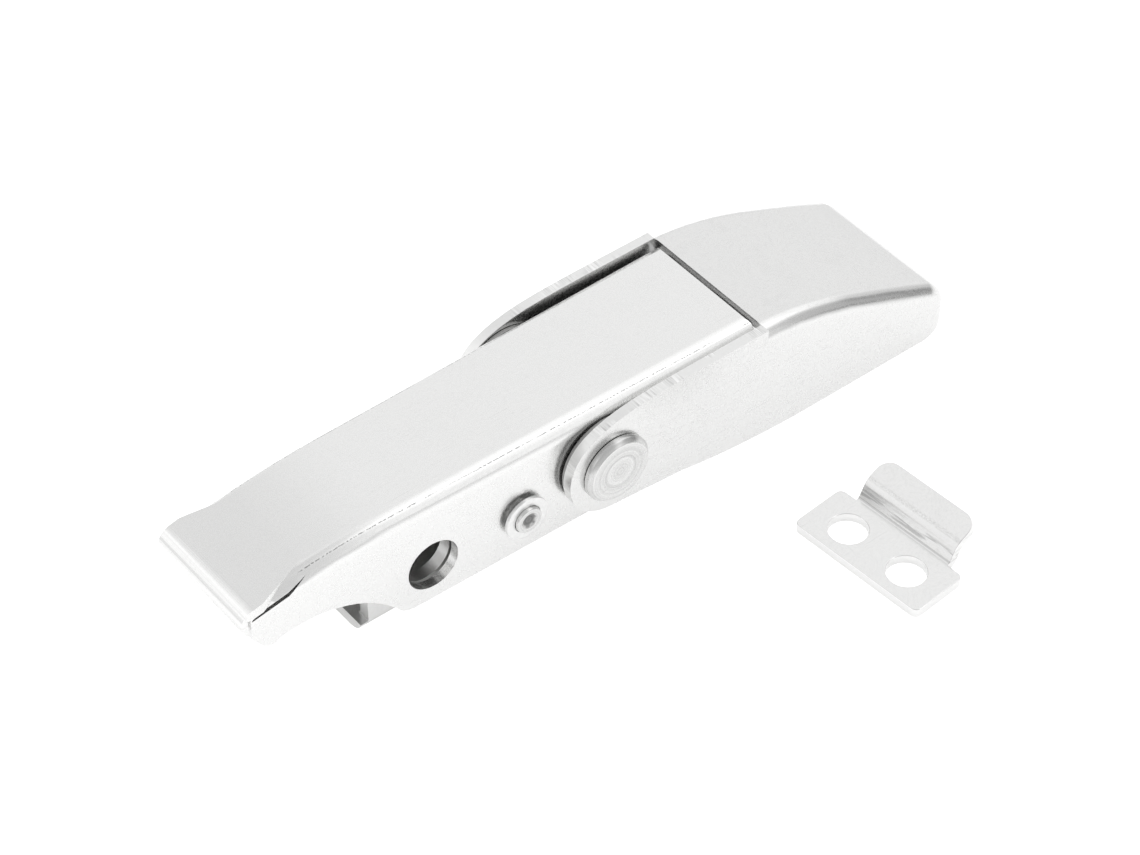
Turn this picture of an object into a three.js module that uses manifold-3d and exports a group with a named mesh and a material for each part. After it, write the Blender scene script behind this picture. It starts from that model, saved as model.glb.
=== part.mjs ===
// Toggle latch in stainless steel: a channel base, an over-centre handle lever pivoted inside
// the front of it, a claw hung on the lever by a headed pin, and the loose keeper plate that
// the claw pulls on. Millimetres, +Z up from the mounting plane. X runs from the finger lip
// of the lever towards the nose of the claw. The origin is on the mounting plane, straight
// under the claw pin.

import * as THREE from 'three';
import { mergeVertices } from 'three/addons/utils/BufferGeometryUtils.js';
import Module from 'manifold-3d';

const wasm = await Module();
wasm.setup();

// ---------------------------------------------------------------- driving dimensions

// Handle lever: an inverted channel, a little narrower towards its finger lip.
const leverSheet = 1.5;
const leverHalfWidth = 10.22;         // outside, measured at the claw pin
const leverTaper = 0.00179;           // share of the width gained per millimetre of X
const leverTop = 19.6;
const leverWallBottom = 1.75;
const leverBend = 2.5;                // outside radius of the long bends
const leverFront = 25.7;              // end face next to the claw plate
const leverFrontEdge = 0.7;           // rounding of the top edge at that end
const crownStart = -32;               // from here the top curves down towards the lip
const crownRadius = 105;
const lipStart = -54.4;
const lipBend = 2.2;                  // outside radius
const lipTurn = 103;                  // degrees of the lip's arc
const lipTail = 1.1;
const fingerCentreX = -47;            // finger recess in both walls, an arc
const fingerTop = 10.25;
const fingerRadius = 17.3;
const fingerEase = 1.9;               // rounded run-out of the recess into the straight edge
const fingerEnd = 103;                // degrees, where the recess runs out under the lip
const toeX = -52.1;                   // low corner of the wall behind the lip
const toeZ = 8.7;
const toeRise = { x: 1.2, z: 1.4 };   // rounded run from the corner up to the lip
const wallEndZ = 12.4;                // the wall's end leans from here to the plate
const wallEndLean = { low: 0.5, high: 0.9 };
const reliefStart = -46;              // slits that part the walls from the plate at the lip
const reliefUnder = -48.9;            // from here they follow the plate's underside
const reliefSlit = 0.5;
const reliefDrop = 0.85;              // start of the slits below the outside of the plate
const reliefDepth = 0.1;              // how far the slits cut in behind the wall
const flareStart = -45.8;             // from here the plate's edge leaves the bend and turns square
const flareEnd = -52.8;
const lipGap = { near: 0.35, far: 0.75, deep: 1.2 };  // between the wall's end and the back of the lip
const leverOpenAngle = 75;            // degrees, the opening that the heel is cut for
const heelGap = 0.6;                  // heel to mounting plane at that opening

// Pins. Positions are in X and Z.
const clawPin = { x: 0, z: 10.86, radius: 3.2, headRadius: 5.1, headHeight: 1.35, chamfer: 0.6 };
const pivotSetback = 11.7;            // lever pivot behind the lever's front end
const leverPivot = {
  x: leverFront - pivotSetback, z: 11.2, radius: 3, coneRadius: 4.2, coneDepth: 0.9,
};
const stopPin = {
  x: -13.1, z: 8.04, radius: 2, endHeight: 0.45, dimpleRadius: 1.2, dimpleDepth: 0.35, edge: 0.15,
};
const padlock = { x: -27.4, z: 7.84, radius: 3.9 };
const spacerRadius = 7;
const pivotWasherRadius = 5.5;
const stopWasherRadius = 3.36;
const stopWasherThickness = 0.5;

// Clearances.
const pinClearance = 0.1;             // radial, a pin in its running hole
const faceClearance = 0.06;           // between faces that slide on each other
const coneClearance = 0.3;            // around the countersunk ends of the lever pivot
const coneSink = 0.02;                // those ends stay below the lever's walls by this
const notchClearance = 0.5;           // around the stop pin in the base
const stopPinPlay = 0.45;             // the stop pin's washers stand off the lever by this
const clawSideGap = 0.38;             // lever's front end to the inside of the claw
const clawGap = 0.5;                  // lever's front end to the claw's plate
const baseSideGap = 0.23;             // base to the inside of the lever at its rear end
const baseEarGap = 0.4;               // base's ear to the underside of the lever
const keeperSideGap = 0.1;            // keeper to the inside of the claw

// Half widths of the lever at a place along it, outside and inside.
const leverHalfWidthAt = (x) => leverHalfWidth * (1 + leverTaper * x);
const leverInnerAt = (x) => (leverHalfWidth - leverSheet) * (1 + leverTaper * x);

// Claw: a deep-drawn cap with two ears that run back to the claw pin.
const clawSheet = 1.5;
const clawHalfWidth = leverHalfWidthAt(leverFront) + clawSideGap + clawSheet;
const clawBend = 2.4;                 // outside radius along the top edges
const earRadius = 7.3;
const clawTop = leverTop;
const clawLength = 34;                // of its plate, from the lever's end to the nose
const clawBrowDrop = 10.4;            // top to where the slope turns down into the nose
const clawShoulder = { along: 0.465, drop: 3.7 };  // share of the length; fall below the top
const clawShoulderPull = { along: 0.215, drop: 0.35 };
const clawSlopePull = { along: 0.7, drop: 6.95 };
const clawBrowBack = 2.7;
const clawNoseRound = 3.6;
const clawHeelRound = 4.4;            // lower corner of the nose
const clawHeelInset = 0.2;
const clawUnderside = 0.3;
const clawKink = { x: 11.5, z: 2.5 };  // the ear's straight lower edge meets the belly
const clawBelly = { x: 34, pull: 22, drop: 0.1 };
const earTopRise = { x: 14, pull: 8, end: 4, drop: 0.35 };
const earTopFall = { x: -5, drop: 1.3 };
const clawLap = 2;                    // the ears run this far into the cap's walls

// Base: an upright channel with a rear block for the padlock and a front ear for the pivot.
const baseSheet = 1.8;
const baseBend = 2.4;
const baseRear = -37.8;
const baseWallRear = -36.6;
const baseRearTop = 13.8;
const baseLowTop = 5;
const baseHalfWidth = leverInnerAt(baseRear) - baseSideGap;
const baseEarRadius = leverTop - leverSheet - leverPivot.z - baseEarGap;
const baseRound = 1.5;
const baseBlockSlope = { start: -21, pull: -19, end: -18, drop: 1.6 };
const baseNotchRim = { rear: 2.4, front: 1.4 };  // notch sides above the stop pin's axis
const baseBlockFront = { wide: 1.6, rise: 0.9 };
const baseEarEase = { far: 2.4, near: 0.6 };
const baseHoleRadius = 2.75;
const baseHoles = [-30, -12, 6];

// Keeper plate, lying beside the latch.
const keeperSheet = 1.5;
const keeperHalfWidth = clawHalfWidth - clawSheet - keeperSideGap;
const keeperHookInset = 2.8;          // the hook is narrower than the plate on each side
const keeperHookCorner = 2.2;
const keeperFront = -4.4;
const keeperBack = 4.7;
const keeperCorner = 1;
const keeperHoleRadius = 2.75;
const keeperHolePitch = 10.4;
const keeperBendInside = 0.5;
const keeperBendLap = 0.6;            // the hook's outline starts this far inside the plate
const keeperSlip = 0.01;              // corner radius of that hidden start
const keeperRiserAngle = 63;          // degrees above the plate
const keeperRiserLength = 1.7;
const keeperCurlAngle = 24;
const keeperCurlLength = 3.4;
const keeperCurlBend = 1;
const keeperPlace = { x: 23.05, y: -38.95, turn: 4.7 };

// Blanks and cutting tools.
const roundSides = 40;
const overcut = 1;                    // how far cutting tools run past a face
const blankLow = -12;
const blankHigh = 30;
const blankReach = 6;                 // how far a blank runs past the finished ends

// ---------------------------------------------------------------- solids

function solidOf(geometry) {
  const bare = geometry.clone();
  bare.deleteAttribute('normal');
  bare.deleteAttribute('uv');
  const merged = mergeVertices(bare, 1e-4);
  return new wasm.Manifold(new wasm.Mesh({
    numProp: 3,
    vertProperties: Float32Array.from(merged.attributes.position.array),
    triVerts: Uint32Array.from(merged.index.array),
  }));
}

function geometryOf(solid) {
  const mesh = solid.getMesh();
  const geometry = new THREE.BufferGeometry();
  geometry.setAttribute('position', new THREE.BufferAttribute(mesh.vertProperties, 3));
  geometry.setIndex(new THREE.BufferAttribute(mesh.triVerts, 1));
  geometry.computeVertexNormals();
  return geometry;
}

// A side outline in X and Z, drawn out along Y between two values.
function prism(shape, yMin, yMax) {
  const geometry = new THREE.ExtrudeGeometry(shape, {
    depth: yMax - yMin, bevelEnabled: false, curveSegments: 10,
  });
  geometry.rotateX(Math.PI / 2);
  geometry.translate(0, yMax, 0);
  return solidOf(geometry);
}

// An outline in X and Y, drawn up from below the mounting plane.
function plan(shape) {
  const geometry = new THREE.ExtrudeGeometry(shape, { depth: blankHigh, bevelEnabled: false });
  geometry.translate(0, 0, -overcut);
  return solidOf(geometry);
}

// A side outline centred on Y = 0, with every edge of both ends rounded.
function roundedPrism(shape, halfWidth, radius) {
  const geometry = new THREE.ExtrudeGeometry(shape, {
    depth: 2 * (halfWidth - radius),
    bevelThickness: radius,
    bevelSize: radius,
    bevelOffset: -radius,
    bevelSegments: 5,
    curveSegments: 10,
  });
  geometry.rotateX(Math.PI / 2);
  geometry.translate(0, halfWidth - radius, 0);
  return solidOf(geometry);
}

function box(xMin, xMax, yMin, yMax, zMin, zMax) {
  const geometry = new THREE.BoxGeometry(xMax - xMin, yMax - yMin, zMax - zMin);
  geometry.translate((xMin + xMax) / 2, (yMin + yMax) / 2, (zMin + zMax) / 2);
  return solidOf(geometry);
}

// A round bar along Y.
function barY(x, z, radius, yMin, yMax) {
  const geometry = new THREE.CylinderGeometry(radius, radius, yMax - yMin, roundSides);
  geometry.translate(x, (yMin + yMax) / 2, z);
  return solidOf(geometry);
}

// A round bar along Z.
function barZ(x, y, radius, zMin, zMax) {
  const geometry = new THREE.CylinderGeometry(radius, radius, zMax - zMin, roundSides);
  geometry.rotateX(Math.PI / 2);
  geometry.translate(x, y, (zMin + zMax) / 2);
  return solidOf(geometry);
}

// A turned piece: its half section as [radius, y] pairs, spun about the Y axis at x, z.
function turned(x, z, section) {
  const profile = section.map(([radius, y]) => new THREE.Vector2(radius, y));
  profile.push(profile[0].clone());
  const geometry = new THREE.LatheGeometry(profile, roundSides);
  geometry.translate(x, 0, z);
  const solid = solidOf(geometry);
  if (solid.volume() < 0) {
    throw new Error('a turned section runs the wrong way round');
  }
  return solid;
}

function both(make) {
  return make(1).add(make(-1));
}

// An outline drawn out on one side of the latch, between two distances from the middle.
function onSide(side, shape, near, far) {
  return side > 0 ? prism(shape, near, far) : prism(shape, -far, -near);
}

// A flat washer on one side of the latch, between two distances from the middle.
function washer(side, x, z, radius, holeRadius, near, far) {
  const yMin = side > 0 ? near : -far;
  const yMax = side > 0 ? far : -near;
  const disc = barY(x, z, radius, yMin, yMax);
  return disc.subtract(barY(x, z, holeRadius, yMin - overcut, yMax + overcut));
}

// ---------------------------------------------------------------- curves

function arcPoints(cx, cz, radius, fromDegrees, toDegrees, steps) {
  const points = [];
  for (let i = 0; i <= steps; i += 1) {
    const angle = THREE.MathUtils.degToRad(fromDegrees + (toDegrees - fromDegrees) * i / steps);
    points.push(new THREE.Vector2(cx + radius * Math.cos(angle), cz + radius * Math.sin(angle)));
  }
  return points;
}

function easePoints(from, control, to, steps) {
  return new THREE.QuadraticBezierCurve(from, control, to).getPoints(steps);
}

// Points joined into one run, without the doubles where stretches meet.
function joined(...stretches) {
  const all = stretches.flat();
  return all.filter((point, i) => i === 0 || point.distanceTo(all[i - 1]) > 1e-3);
}

// A run of points moved to its right-hand side, as seen along the run.
function offset(points, distance) {
  return points.map((point, i) => {
    const before = points[Math.max(i - 1, 0)];
    const after = points[Math.min(i + 1, points.length - 1)];
    const along = after.clone().sub(before).normalize();
    return new THREE.Vector2(point.x + along.y * distance, point.y - along.x * distance);
  });
}

const at = (x, z) => new THREE.Vector2(x, z);
const shapeOf = (...stretches) => new THREE.Shape(joined(...stretches));

// ---------------------------------------------------------------- handle lever

const crownCentreZ = leverTop - crownRadius;
const crownZ = (x) => crownCentreZ + Math.sqrt(crownRadius ** 2 - (crownStart - x) ** 2);
const crownAngle = (x) => 90 + THREE.MathUtils.radToDeg(Math.asin((crownStart - x) / crownRadius));

// The outside of the top plate, from the front end back to a point over the finger recess.
function crownRun(frontX, rearX) {
  return joined(
    [at(frontX, leverTop)],
    arcPoints(crownStart, crownCentreZ, crownRadius, 90, crownAngle(rearX), 9),
  );
}

// The plate's last stretch and the lip that it is folded down into, as one bent sheet.
function lipSheet() {
  const startAngle = crownAngle(lipStart);
  const start = THREE.MathUtils.degToRad(startAngle);
  const inward = crownRadius - lipBend;
  const centre = at(crownStart + inward * Math.cos(start), crownCentreZ + inward * Math.sin(start));
  const endAngle = startAngle + lipTurn;
  const end = THREE.MathUtils.degToRad(endAngle);
  const bend = arcPoints(centre.x, centre.y, lipBend, startAngle, endAngle, 10);
  const tip = bend[bend.length - 1].clone();
  tip.add(at(-Math.sin(end) * lipTail, Math.cos(end) * lipTail));
  const plateAngle = crownAngle(flareStart);
  const plate = arcPoints(crownStart, crownCentreZ, crownRadius, plateAngle, startAngle, 3);
  const outside = joined(plate, bend, [tip]);
  const inside = offset(outside, -leverSheet).reverse();
  return shapeOf(outside, inside);
}

// Side outline of the lever's walls.
function leverWalls() {
  const heelRadius = leverPivot.z - heelGap;
  const heelAngle = leverOpenAngle - 90;
  const heelLow = Math.sqrt(heelRadius ** 2 - (leverPivot.z - leverWallBottom) ** 2);
  const lowAngle = -THREE.MathUtils.radToDeg(Math.atan2(leverPivot.z - leverWallBottom, heelLow));
  const open = THREE.MathUtils.degToRad(leverOpenAngle);
  const endRun = leverFront - leverPivot.x;
  const endLow = leverPivot.z + (endRun * Math.sin(open) - heelRadius) / Math.cos(open);
  const fingerCentreZ = fingerTop - fingerRadius;
  const straight = leverWallBottom + fingerEase / 2 - fingerCentreZ;
  const easeAngle = THREE.MathUtils.radToDeg(Math.asin(straight / fingerRadius));
  const recess = arcPoints(fingerCentreX, fingerCentreZ, fingerRadius, easeAngle, fingerEnd, 14);
  const cornerX = recess[0].x + fingerEase / 2;
  return shapeOf(
    [at(leverFront, leverTop + overcut), at(leverFront, endLow)],
    arcPoints(leverPivot.x, leverPivot.z, heelRadius, heelAngle, lowAngle, 8),
    easePoints(at(cornerX + fingerEase, leverWallBottom), at(cornerX, leverWallBottom),
      recess[0], 4),
    recess,
    easePoints(recess[recess.length - 1], at(toeX, toeZ),
      at(toeX - toeRise.x, toeZ + toeRise.z), 4),
    [at(lipStart - wallEndLean.low, wallEndZ), at(lipStart - wallEndLean.high, leverTop + overcut)],
  );
}

// The slit that parts a wall from the plate at the finger end.
function leverRelief(side) {
  const rear = lipStart - blankReach / 2;
  const cornerZ = crownZ(lipStart) - leverSheet;
  const underZ = crownZ(reliefUnder) - leverSheet;
  const slit = new THREE.Shape([
    at(reliefStart, crownZ(reliefStart) - reliefDrop),
    at(reliefUnder, underZ),
    at(lipStart, cornerZ),
    at(rear, cornerZ),
    at(rear, cornerZ - reliefSlit),
    at(lipStart, cornerZ - reliefSlit),
    at(reliefUnder, underZ - reliefSlit),
  ]);
  return onSide(side, slit, leverHalfWidth - leverSheet - reliefDepth, leverHalfWidth + overcut);
}

// The lip's blank seen from above: square edges that run out into the bends.
function lipPlan(rear) {
  const narrow = leverHalfWidth - leverBend;
  return shapeOf(
    [at(rear, -leverHalfWidth), at(flareEnd, -leverHalfWidth), at(flareStart, -narrow)],
    [at(flareStart, narrow), at(flareEnd, leverHalfWidth), at(rear, leverHalfWidth)],
  );
}

// The lever's plate and walls as one bent sheet, trimmed to their side outline.
function leverShell() {
  const rear = lipStart - blankReach;
  const front = leverFront + blankReach;
  const run = crownRun(front, rear);
  const outside = shapeOf(run, [at(rear, blankLow), at(front, blankLow)]);
  const lowered = offset(run, -leverSheet);
  const rearmost = lowered[lowered.length - 2];
  const insideRun = joined([at(front + overcut, leverTop - leverSheet)], lowered.slice(1, -1),
    [at(rear - overcut, rearmost.y - leverSheet / 3)]);
  const inside = shapeOf(insideRun,
    [at(rear - overcut, blankLow - overcut), at(front + overcut, blankLow - overcut)]);
  const wide = leverHalfWidth + overcut;
  return roundedPrism(outside, leverHalfWidth, leverBend)
    .subtract(roundedPrism(inside, leverHalfWidth - leverSheet, leverBend - leverSheet))
    .intersect(prism(leverWalls(), -wide, wide));
}

// The front end's rounded top edge, which the claw's plate swings past.
function leverFrontCutter(wide) {
  const edge = leverFrontEdge;
  return prism(new THREE.Shape([
    at(leverFront + overcut, leverTop - edge),
    at(leverFront + overcut, leverTop + overcut),
    at(leverFront - edge, leverTop + overcut),
    ...arcPoints(leverFront - edge, leverTop - edge, edge, 90, 0, 5),
  ]), -wide, wide);
}

function leverSolid() {
  const rear = lipStart - 2 * blankReach;
  const wide = leverHalfWidth + overcut;
  const plateUnder = crownZ(lipStart) - leverSheet;
  const plateRear = box(rear, lipStart - 0.1, -wide, wide, plateUnder - 0.1, blankHigh);
  const lip = prism(lipSheet(), -leverHalfWidth, leverHalfWidth).intersect(plan(lipPlan(rear)));
  const behindLip = box(lipStart - lipGap.far, lipStart - lipGap.near,
    leverHalfWidth - leverSheet - lipGap.deep, wide, 0, plateUnder);
  let solid = leverShell()
    .subtract(plateRear)
    .subtract(both(leverRelief))
    .add(lip)
    .subtract(behindLip)
    .subtract(behindLip.mirror([0, 1, 0]))
    .subtract(leverFrontCutter(wide));
  for (const pin of [clawPin, stopPin, leverPivot]) {
    solid = solid.subtract(barY(pin.x, pin.z, pin.radius + pinClearance, -wide, wide));
  }
  solid = solid.subtract(barY(padlock.x, padlock.z, padlock.radius, -wide, wide));
  const geometry = geometryOf(solid);
  const position = geometry.attributes.position;
  for (let i = 0; i < position.count; i += 1) {
    position.setY(i, position.getY(i) * (1 + leverTaper * position.getX(i)));
  }
  return solidOf(geometry).subtract(both(leverCountersink));
}

// The countersink for the flush end of the lever pivot.
function leverCountersink(side) {
  const face = leverHalfWidthAt(leverPivot.x);
  const { coneRadius, coneDepth, radius } = leverPivot;
  const section = [
    [0, face - coneDepth - coneClearance],
    [radius + pinClearance, face - coneDepth - coneClearance],
    [coneRadius + coneClearance, face - coneSink],
    [coneRadius + coneClearance, face + overcut],
    [0, face + overcut],
  ];
  const cutter = turned(leverPivot.x, leverPivot.z, section);
  return side > 0 ? cutter : cutter.mirror([0, 1, 0]);
}

// ---------------------------------------------------------------- claw

const plateEdge = leverFront + clawGap;
const clawNoseX = plateEdge + clawLength;
const clawNoseZ = clawTop - clawBrowDrop;
const onClaw = ({ along, drop }) => at(plateEdge + along * clawLength, clawTop - drop);

// Outside of the cap, from over the lever to the foot of the nose.
function clawRun(startX) {
  const shoulder = onClaw(clawShoulder);
  const brow = at(clawNoseX - clawBrowBack, clawNoseZ);
  const noseTurn = at(clawNoseX - clawHeelInset, clawNoseZ - clawNoseRound / 2);
  return joined(
    [at(startX, clawTop), at(plateEdge, clawTop)],
    easePoints(at(plateEdge, clawTop), onClaw(clawShoulderPull), shoulder, 7),
    easePoints(shoulder, onClaw(clawSlopePull), brow, 4),
    easePoints(brow, noseTurn, at(clawNoseX, clawNoseZ - clawNoseRound), 5),
    [at(clawNoseX, blankLow)],
  );
}

// Lower edge of the claw, from under the claw pin to the front of the nose.
function clawLowerRun() {
  const heelZ = clawUnderside + clawHeelRound;
  return joined(
    [at(clawPin.x, clawPin.z - earRadius)],
    easePoints(at(clawKink.x, clawKink.z), at(clawBelly.pull, clawUnderside + clawBelly.drop),
      at(clawBelly.x, clawUnderside), 7),
    arcPoints(clawNoseX - clawHeelRound - clawHeelInset, heelZ, clawHeelRound, -90, 0, 8),
    [at(clawNoseX + overcut, heelZ + overcut)],
  );
}

// Side outline of an ear. It ends inside the cap's wall, below the bend of its top edge.
function clawEar() {
  const underBend = clawTop - clawBend - overcut;
  const lapX = plateEdge + clawLap;
  const end = arcPoints(clawPin.x, clawPin.z, earRadius, 155, 270, 12);
  const lower = clawLowerRun().filter((point) => point.x < lapX);
  const rise = at(earTopRise.end, clawTop - earTopRise.drop);
  return shapeOf(
    [at(lapX, underBend), at(plateEdge, underBend), at(plateEdge, clawTop)],
    easePoints(at(earTopRise.x, clawTop), at(earTopRise.pull, clawTop), rise, 3),
    easePoints(rise, at(earTopFall.x, clawTop - earTopFall.drop), end[0], 7),
    end,
    lower,
    [at(lapX, lower[lower.length - 1].y)],
  );
}

function clawSolid() {
  const start = plateEdge - 2 * blankReach;
  const run = clawRun(start);
  const outside = shapeOf(run, [at(start, blankLow)]);
  const lowered = offset(run, clawSheet);
  lowered[lowered.length - 1] = at(clawNoseX - clawSheet, blankLow - overcut);
  lowered[0] = at(start - overcut, clawTop - clawSheet);
  const inside = shapeOf(lowered, [at(start - overcut, blankLow - overcut)]);
  const wide = clawHalfWidth + overcut;
  const high = clawTop + overcut;
  const inner = clawHalfWidth - clawSheet;
  const aboveLowerRun = shapeOf([at(0, high)], clawLowerRun(), [at(clawNoseX + overcut, high)]);
  return roundedPrism(outside, clawHalfWidth, clawBend)
    .subtract(roundedPrism(inside, inner, clawBend - clawSheet))
    .intersect(box(plateEdge, clawNoseX + overcut, -wide, wide, -overcut, high))
    .intersect(prism(aboveLowerRun, -wide, wide))
    .add(both((side) => onSide(side, clawEar(), inner, clawHalfWidth)))
    .subtract(barY(clawPin.x, clawPin.z, clawPin.radius + pinClearance, -wide, wide));
}

// ---------------------------------------------------------------- base channel

// Side outline of the base's walls: the padlock block, the stop pin's notch and the ear.
function baseWalls() {
  const notch = stopPin.radius + notchClearance;
  const blockFront = stopPin.x + notch + baseBlockFront.wide;
  const slope = baseBlockSlope;
  const ear = arcPoints(leverPivot.x, leverPivot.z, baseEarRadius, 200, 0, 16);
  return shapeOf(
    [at(baseWallRear, -overcut)],
    easePoints(at(baseWallRear, baseRearTop - baseRound), at(baseWallRear, baseRearTop),
      at(baseWallRear + baseRound, baseRearTop), 4),
    easePoints(at(slope.start, baseRearTop), at(slope.pull, baseRearTop),
      at(slope.end, baseRearTop - slope.drop), 3),
    [at(stopPin.x - notch, stopPin.z + baseNotchRim.rear)],
    arcPoints(stopPin.x, stopPin.z, notch, 180, 360, 12),
    [at(stopPin.x + notch, stopPin.z + baseNotchRim.front)],
    [at(blockFront, stopPin.z + baseBlockFront.rise)],
    easePoints(at(blockFront, baseLowTop + 1), at(blockFront, baseLowTop),
      at(blockFront + 1, baseLowTop), 3),
    easePoints(at(ear[0].x - baseEarEase.far, baseLowTop),
      at(ear[0].x - baseEarEase.near, baseLowTop), ear[0], 4),
    ear,
    [at(leverPivot.x + baseEarRadius, -overcut)],
  );
}

// A U section of the base drawn out along X.
function baseChannel(halfWidth, bottom, radius, xMin, xMax) {
  const shape = shapeOf(
    [at(-halfWidth, blankHigh)],
    arcPoints(-halfWidth + radius, bottom + radius, radius, 180, 270, 5),
    arcPoints(halfWidth - radius, bottom + radius, radius, 270, 360, 5),
    [at(halfWidth, blankHigh)],
  );
  const geometry = new THREE.ExtrudeGeometry(shape, { depth: xMax - xMin, bevelEnabled: false });
  geometry.rotateX(Math.PI / 2);
  geometry.rotateZ(Math.PI / 2);
  geometry.translate(xMin, 0, 0);
  return solidOf(geometry);
}

function baseSolid() {
  const front = leverPivot.x + baseEarRadius;
  const wide = baseHalfWidth + overcut;
  const floor = box(baseRear, front, -wide, wide, -overcut, baseSheet);
  const inside = baseChannel(baseHalfWidth - baseSheet, baseSheet, baseBend - baseSheet,
    baseRear - overcut, front + overcut);
  let solid = baseChannel(baseHalfWidth, 0, baseBend, baseRear, front)
    .subtract(inside)
    .intersect(prism(baseWalls(), -wide, wide).add(floor));
  for (const x of baseHoles) {
    solid = solid.subtract(barZ(x, 0, baseHoleRadius, -overcut, baseSheet + overcut));
  }
  const pivotHole = leverPivot.radius + pinClearance;
  return solid
    .subtract(barY(leverPivot.x, leverPivot.z, pivotHole, -wide, wide))
    .subtract(barY(padlock.x, padlock.z, padlock.radius, -wide, wide));
}

// ---------------------------------------------------------------- pins and washers

// Round headed pin: the same turned head on both ends.
function clawPinSolid() {
  const seat = clawHalfWidth + faceClearance;
  const end = seat + clawPin.headHeight;
  const rim = end - clawPin.chamfer;
  const face = clawPin.headRadius - clawPin.chamfer;
  return turned(clawPin.x, clawPin.z, [
    [0, -end], [face, -end], [clawPin.headRadius, -rim], [clawPin.headRadius, -seat],
    [clawPin.radius, -seat], [clawPin.radius, seat],
    [clawPin.headRadius, seat], [clawPin.headRadius, rim], [face, end], [0, end],
  ]);
}

// Countersunk rivet, its ends flush with the lever's walls.
function leverPivotSolid() {
  const { radius, coneRadius, coneDepth } = leverPivot;
  const end = leverHalfWidthAt(leverPivot.x - coneRadius) - coneSink;
  return turned(leverPivot.x, leverPivot.z, [
    [0, -end], [coneRadius, -end], [radius, coneDepth - end],
    [radius, end - coneDepth], [coneRadius, end], [0, end],
  ]);
}

const stopWasherSeat = leverHalfWidthAt(stopPin.x + stopWasherRadius) + stopPinPlay;

// Stop pin: a plain shaft, its two ends peened over their washers with a dimple in each.
function stopPinSolid() {
  const end = stopWasherSeat + stopWasherThickness + faceClearance + stopPin.endHeight;
  const shoulder = end - stopPin.edge;
  const dimple = end - stopPin.dimpleDepth;
  const face = stopPin.radius - stopPin.edge;
  return turned(stopPin.x, stopPin.z, [
    [0, -dimple], [stopPin.dimpleRadius, -end], [face, -end],
    [stopPin.radius, -shoulder], [stopPin.radius, shoulder], [face, end],
    [stopPin.dimpleRadius, end], [0, dimple],
  ]);
}

function spacerSolid(side) {
  const near = leverHalfWidthAt(clawPin.x + spacerRadius) + faceClearance;
  const far = clawHalfWidth - clawSheet - faceClearance;
  return washer(side, clawPin.x, clawPin.z, spacerRadius, clawPin.radius + pinClearance, near, far);
}

function pivotWasherSolid(side) {
  const near = baseHalfWidth + faceClearance;
  const far = leverInnerAt(leverPivot.x - pivotWasherRadius) - faceClearance;
  const hole = leverPivot.radius + pinClearance;
  return washer(side, leverPivot.x, leverPivot.z, pivotWasherRadius, hole, near, far);
}

function stopWasherSolid(side) {
  const hole = stopPin.radius + pinClearance;
  const far = stopWasherSeat + stopWasherThickness;
  return washer(side, stopPin.x, stopPin.z, stopWasherRadius, hole, stopWasherSeat, far);
}

// ---------------------------------------------------------------- keeper plate

// Bent sheet seen from its side: flat plate, riser, and the curl that the claw pulls on.
function keeperSection() {
  const bendOutside = keeperBendInside + keeperSheet;
  const riser = THREE.MathUtils.degToRad(keeperRiserAngle);
  const curl = THREE.MathUtils.degToRad(keeperCurlAngle);
  const low = arcPoints(keeperBack, bendOutside, bendOutside, 270, 270 + keeperRiserAngle, 5);
  const foot = low[low.length - 1];
  const up = at(Math.cos(riser), Math.sin(riser));
  const top = foot.clone().add(up.clone().multiplyScalar(keeperRiserLength));
  const centre = top.clone().add(at(up.y, -up.x).multiplyScalar(keeperCurlBend));
  const over = arcPoints(centre.x, centre.y, keeperCurlBend, 90 + keeperRiserAngle,
    90 + keeperCurlAngle, 5);
  const end = over[over.length - 1].clone();
  end.add(at(Math.cos(curl), Math.sin(curl)).multiplyScalar(keeperCurlLength));
  const under = joined([at(keeperFront, 0)], low, over, [end]);
  return shapeOf(under, offset(under, -keeperSheet).reverse());
}

// A rectangle with its corners rounded, front and back by their own radii.
function roundedRectangle(front, back, halfWidth, frontRadius, backRadius) {
  const quarter = (x, y, radius, from) => arcPoints(x, y, radius, from, from + 90, 5);
  return shapeOf(
    quarter(back - backRadius, halfWidth - backRadius, backRadius, 0),
    quarter(front + frontRadius, halfWidth - frontRadius, frontRadius, 90),
    quarter(front + frontRadius, frontRadius - halfWidth, frontRadius, 180),
    quarter(back - backRadius, backRadius - halfWidth, backRadius, 270),
  );
}

function keeperSolid() {
  const section = keeperSection();
  const wide = keeperHalfWidth + overcut;
  const plate = roundedRectangle(keeperFront, keeperBack, keeperHalfWidth, keeperCorner, keeperCorner);
  const hookFront = keeperBack - keeperBendLap;
  const hookBack = Math.max(...section.getPoints().map((point) => point.x));
  const hookHalfWidth = keeperHalfWidth - keeperHookInset;
  const hook = roundedRectangle(hookFront, hookBack, hookHalfWidth, keeperSlip, keeperHookCorner);
  let solid = prism(section, -wide, wide).intersect(plan(plate).add(plan(hook)));
  for (const y of [-keeperHolePitch / 2, keeperHolePitch / 2]) {
    solid = solid.subtract(barZ(0, y, keeperHoleRadius, -overcut, keeperSheet + overcut));
  }
  return solid;
}

// ---------------------------------------------------------------- scene

const steel = (color, roughness) => new THREE.MeshStandardMaterial({
  color, roughness, metalness: 1,
});

const group = new THREE.Group();

function place(name, solid, material, parent = group) {
  const mesh = new THREE.Mesh(geometryOf(solid), material);
  mesh.name = name;
  parent.add(mesh);
}

const bright = 0xdcdcda;
const satin = 0xcfcfcd;
const turnedSteel = 0xc2c2c0;

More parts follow.
